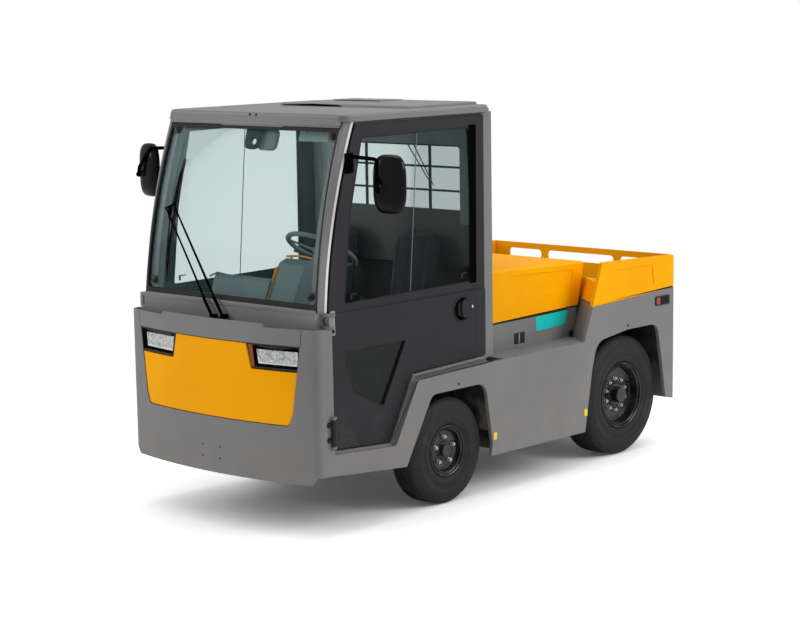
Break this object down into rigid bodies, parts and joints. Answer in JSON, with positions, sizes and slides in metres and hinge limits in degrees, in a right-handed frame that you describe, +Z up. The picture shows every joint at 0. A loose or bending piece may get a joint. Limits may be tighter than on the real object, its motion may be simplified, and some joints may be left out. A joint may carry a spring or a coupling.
{
  "type": "airport baggage tug",
  "caption": "Electric tow tractor with a closed two-door cab, steered front wheels, battery hood, small rear load bed and a stepped tow coupling.",
  "frame": {"origin": "middle of the bounding box on the floor", "axes": "+X the vehicle's left, +Y to the rear, +Z up"},
  "size_m": [1.8728, 3.11, 2.04],
  "materials": {
    "chassis_black": "satin",
    "battery_case": "satin",
    "body_grey": "satin",
    "body_yellow": "satin",
    "trim_black": "matte",
    "lamp_clear": "gloss",
    "floor_rubber": "matte",
    "seal_rubber": "matte",
    "cab_glass": "gloss",
    "cab_plastic": "matte",
    "seat_cloth": "matte",
    "lamp_red": "gloss",
    "bright_steel": "brushed",
    "door_dark": "satin",
    "rim_black": "gloss",
    "tyre": "matte"
  },
  "bodies": {
    "chassis": {"chassis_frame": "chassis_black", "front_axle_beam": "chassis_black", "rear_axle": "chassis_black", "battery_block": "battery_case", "front_plate": "body_grey", "front_cover": "body_yellow", "headlamp_housings": "trim_black", "headlamp_lenses": "lamp_clear", "side_left": "body_grey", "side_right": "body_grey", "cowl": "body_grey", "cab_frame": "body_grey", "cab_floor": "floor_rubber", "roof": "body_grey", "arch_liners": "chassis_black", "screen_gasket": "seal_rubber", "cab_glass": "cab_glass", "wiper_and_guard": "trim_black", "dashboard": "cab_plastic", "seats": "seat_cloth", "battery_surround": "body_grey", "rear_rails": "body_yellow", "tail_panel": "body_yellow", "rear_body": "body_grey", "lamps": "lamp_red", "tow_coupling": "chassis_black"},
    "battery_hood_body": {"battery_hood": "body_yellow"},
    "coupling_pin_body": {"coupling_pin": "bright_steel"},
    "steering_wheel_body": {"steering_wheel": "trim_black"},
    "door_left_body": {"door_left": "door_dark", "door_glass_left": "cab_glass", "mirror_left": "trim_black"},
    "steer_left_body": {"knuckle_left": "chassis_black"},
    "wheel_front_left": {"rim_front_left": "rim_black", "tyre_front_left": "tyre"},
    "wheel_rear_left": {"rim_rear_left": "rim_black", "tyre_rear_left": "tyre"},
    "door_right_body": {"door_right": "door_dark", "door_glass_right": "cab_glass", "mirror_right": "trim_black"},
    "steer_right_body": {"knuckle_right": "chassis_black"},
    "wheel_front_right": {"rim_front_right": "rim_black", "tyre_front_right": "tyre"},
    "wheel_rear_right": {"rim_rear_right": "rim_black", "tyre_rear_right": "tyre"}
  },
  "joints": [
    {"name": "door_left", "type": "hinge", "parent": "chassis", "child": "door_left_body", "pos_m": [0.672, -1.3805, 0.56], "axis": [0, 0, -1], "range_deg": [0, 80]},
    {"name": "steer_left", "type": "hinge", "parent": "chassis", "child": "steer_left_body", "pos_m": [0.514, -0.4875, 0.276], "axis": [0, 0, 1], "range_deg": [-30, 30]},
    {"name": "front_left_spin", "type": "hinge", "parent": "steer_left_body", "child": "wheel_front_left", "pos_m": [0.536, -0.4875, 0.276], "axis": [1, 0, 0], "continuous": true},
    {"name": "rear_left_spin", "type": "hinge", "parent": "chassis", "child": "wheel_rear_left", "pos_m": [0.513, 1.026, 0.338], "axis": [1, 0, 0], "continuous": true},
    {"name": "door_right", "type": "hinge", "parent": "chassis", "child": "door_right_body", "pos_m": [-0.672, -1.3805, 0.56], "axis": [0, 0, 1], "range_deg": [0, 80]},
    {"name": "steer_right", "type": "hinge", "parent": "chassis", "child": "steer_right_body", "pos_m": [-0.514, -0.4875, 0.276], "axis": [0, 0, 1], "range_deg": [-30, 30]},
    {"name": "front_right_spin", "type": "hinge", "parent": "steer_right_body", "child": "wheel_front_right", "pos_m": [-0.536, -0.4875, 0.276], "axis": [1, 0, 0], "continuous": true},
    {"name": "rear_right_spin", "type": "hinge", "parent": "chassis", "child": "wheel_rear_right", "pos_m": [-0.513, 1.026, 0.338], "axis": [1, 0, 0], "continuous": true},
    {"name": "battery_hood", "type": "hinge", "parent": "chassis", "child": "battery_hood_body", "pos_m": [0, -0.0815, 1.154], "axis": [1, 0, 0], "range_deg": [0, 50]},
    {"name": "steering_wheel", "type": "hinge", "parent": "chassis", "child": "steering_wheel_body", "pos_m": [0.23, -0.9835, 1.33], "axis": [0, 0.5299, 0.848], "range_deg": [-360, 360]},
    {"name": "coupling_pin", "type": "slide", "parent": "chassis", "child": "coupling_pin_body", "axis": [0, 0, 1], "range_m": [0, 0.16]}
  ],
  "couplings": [
    {"joint": "steer_right", "follows": "steer_left", "ratio": 1},
    {"joint": "steering_wheel", "follows": "steer_left", "ratio": 12}
  ]
}
